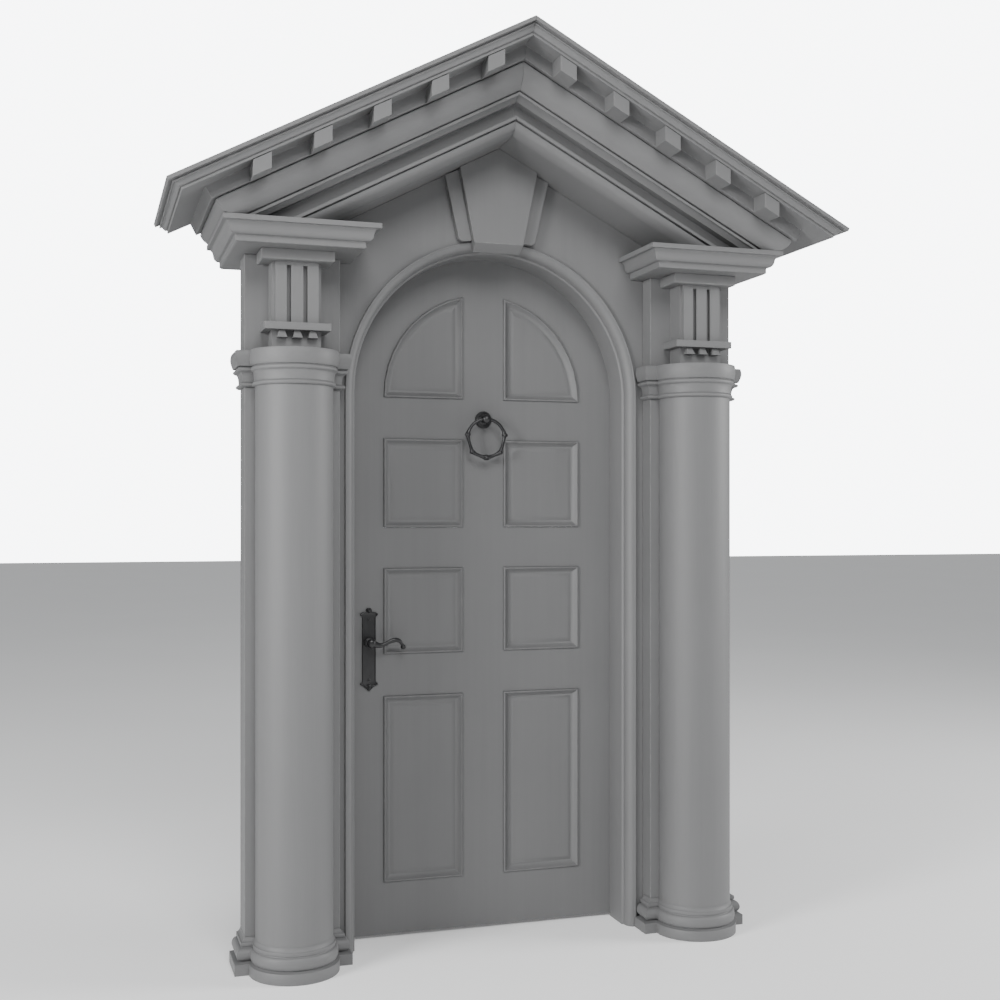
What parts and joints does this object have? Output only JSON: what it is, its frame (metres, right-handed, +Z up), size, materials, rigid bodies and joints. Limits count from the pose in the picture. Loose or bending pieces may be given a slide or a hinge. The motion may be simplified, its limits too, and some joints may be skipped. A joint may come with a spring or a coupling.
{
  "type": "door surround with door",
  "caption": "Pedimented classical door surround with half-round columns, triglyph blocks, keystone arch and a panelled arched door with ring knocker and lever handle.",
  "frame": {"origin": "middle of the doorset's box on the floor; the piers' flat backs are 0.13575 m behind it", "axes": "+Z up; -Y is the way the surround faces; +X to the right as seen from the front"},
  "size_m": [2.1364, 0.6406, 2.8709],
  "materials": {
    "surround_paint": "matte grey paint on joinery",
    "door_paint": "matte grey paint on joinery",
    "dark_iron": "smooth black"
  },
  "bodies": {
    "surround": {"column_base_left": "surround_paint", "pier_left": "surround_paint", "column_shaft_left": "surround_paint", "column_capital_left": "surround_paint", "upper_pier_left": "surround_paint", "triglyph_left": "surround_paint", "triglyph_cap_left": "surround_paint", "regula_left": "surround_paint", "gutta_1_left": "surround_paint", "gutta_2_left": "surround_paint", "gutta_3_left": "surround_paint", "impost_cornice_left": "surround_paint", "raking_cornice_left": "surround_paint", "mutule_1_left": "surround_paint", "mutule_2_left": "surround_paint", "mutule_3_left": "surround_paint", "mutule_4_left": "surround_paint", "mutule_5_left": "surround_paint", "side_stone_left": "surround_paint", "column_base_right": "surround_paint", "pier_right": "surround_paint", "column_shaft_right": "surround_paint", "column_capital_right": "surround_paint", "upper_pier_right": "surround_paint", "triglyph_right": "surround_paint", "triglyph_cap_right": "surround_paint", "regula_right": "surround_paint", "gutta_1_right": "surround_paint", "gutta_2_right": "surround_paint", "gutta_3_right": "surround_paint", "impost_cornice_right": "surround_paint", "raking_cornice_right": "surround_paint", "mutule_1_right": "surround_paint", "mutule_2_right": "surround_paint", "mutule_3_right": "surround_paint", "mutule_4_right": "surround_paint", "mutule_5_right": "surround_paint", "side_stone_right": "surround_paint", "wall_panel": "surround_paint", "casing": "surround_paint", "keystone": "surround_paint"},
    "door": {"door_leaf": "door_paint", "door_panel_arched_left": "door_paint", "door_panel_arched_right": "door_paint", "door_panel_upper_left": "door_paint", "door_panel_upper_right": "door_paint", "door_panel_middle_left": "door_paint", "door_panel_middle_right": "door_paint", "door_panel_lower_left": "door_paint", "door_panel_lower_right": "door_paint", "hinge_1": "dark_iron", "hinge_2": "dark_iron", "hinge_3": "dark_iron", "knocker_boss": "dark_iron", "handle_plate_front": "dark_iron", "handle_plate_back": "dark_iron"},
    "levers": {"lever_front": "dark_iron", "lever_back": "dark_iron"},
    "ring": {"knocker_ring": "dark_iron"}
  },
  "joints": [
    {"name": "door_hinge", "type": "hinge", "parent": "surround", "child": "door", "pos_m": [0.4715, 0.27215, 0], "axis": [0, 0, -1], "range_deg": [0, 95]},
    {"name": "lever_turn", "type": "hinge", "parent": "door", "child": "levers", "pos_m": [-0.3906, 0.22115, 0.97], "axis": [0, 1, 0], "range_deg": [0, 40], "stiffness_Nm_per_rad": 1.2, "springref_deg": -20.05},
    {"name": "knocker_swing", "type": "hinge", "parent": "door", "child": "ring", "pos_m": [0, 0.18375, 1.706], "axis": [-1, 0, 0], "range_deg": [-8, 90]}
  ]
}
